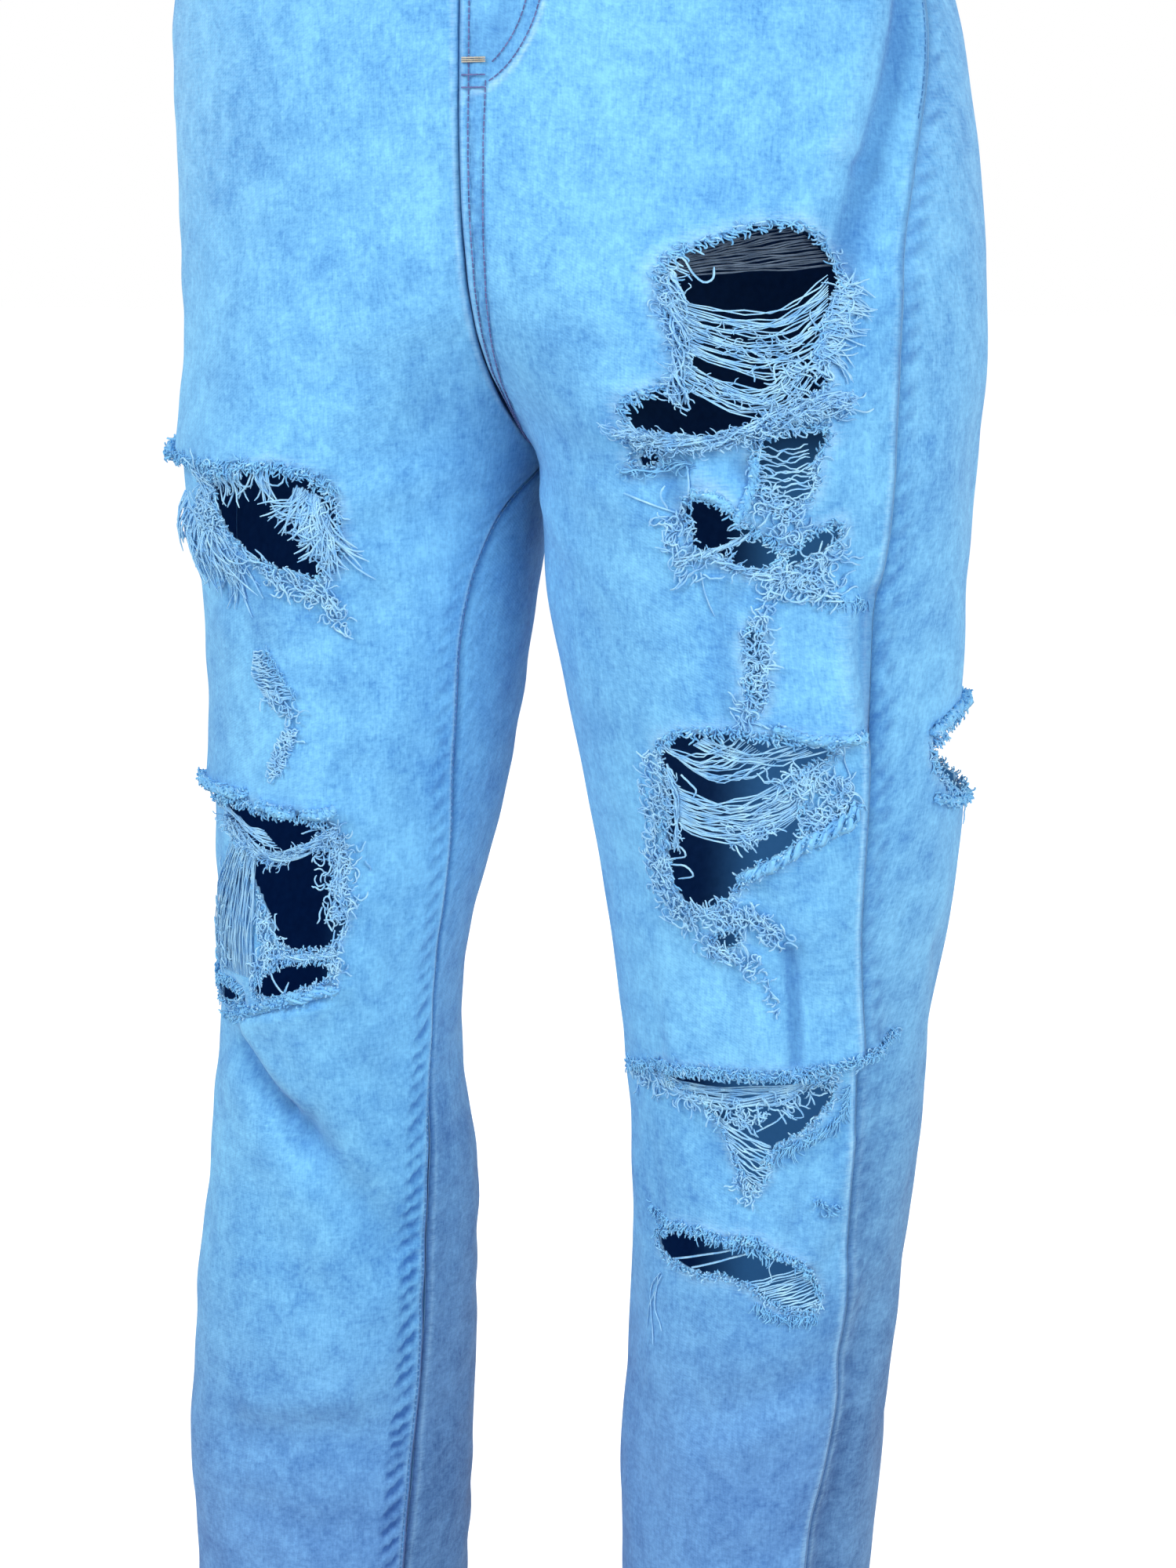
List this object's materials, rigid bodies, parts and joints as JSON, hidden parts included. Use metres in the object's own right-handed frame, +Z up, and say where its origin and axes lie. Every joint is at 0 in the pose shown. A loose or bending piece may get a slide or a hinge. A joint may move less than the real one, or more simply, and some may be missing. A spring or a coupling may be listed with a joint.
{
  "type": "ripped jeans",
  "caption": "High-waisted straight jeans in filled-out form, hollow, with torn openings over the thighs, knees and shins and closed front fly.",
  "frame": {"origin": "middle of the waistband ring, half way up its height, where the wearer's waist holds the jeans", "axes": "+Z up the body, -Y out of the front, +X towards the wearer's left"},
  "size_m": [0.3958, 0.2531, 1.0284],
  "materials": {
    "denim": "pale acid-washed twill, matt, whiter along seams and edges",
    "band_denim": "pale washed twill, several layers thick",
    "facing_denim": "less washed denim behind an opening",
    "zip_tape": "woven cotton tape",
    "metal": "antiqued, satin"
  },
  "bodies": {
    "root": {"front_left": "denim", "front_right": "denim", "back_left": "denim", "back_right": "denim", "yoke_left": "denim", "yoke_right": "denim", "back_pocket_left": "denim", "back_pocket_right": "denim", "hem_left": "denim", "hem_right": "denim", "waistband": "band_denim", "belt_loop_1": "band_denim", "belt_loop_2": "band_denim", "belt_loop_3": "band_denim", "belt_loop_4": "band_denim", "belt_loop_5": "band_denim", "pocket_facing_left": "facing_denim", "pocket_facing_right": "facing_denim", "fly_facing": "facing_denim", "zip_tape": "zip_tape", "zip_slider": "metal", "button": "metal"}
  },
  "joints": []
}
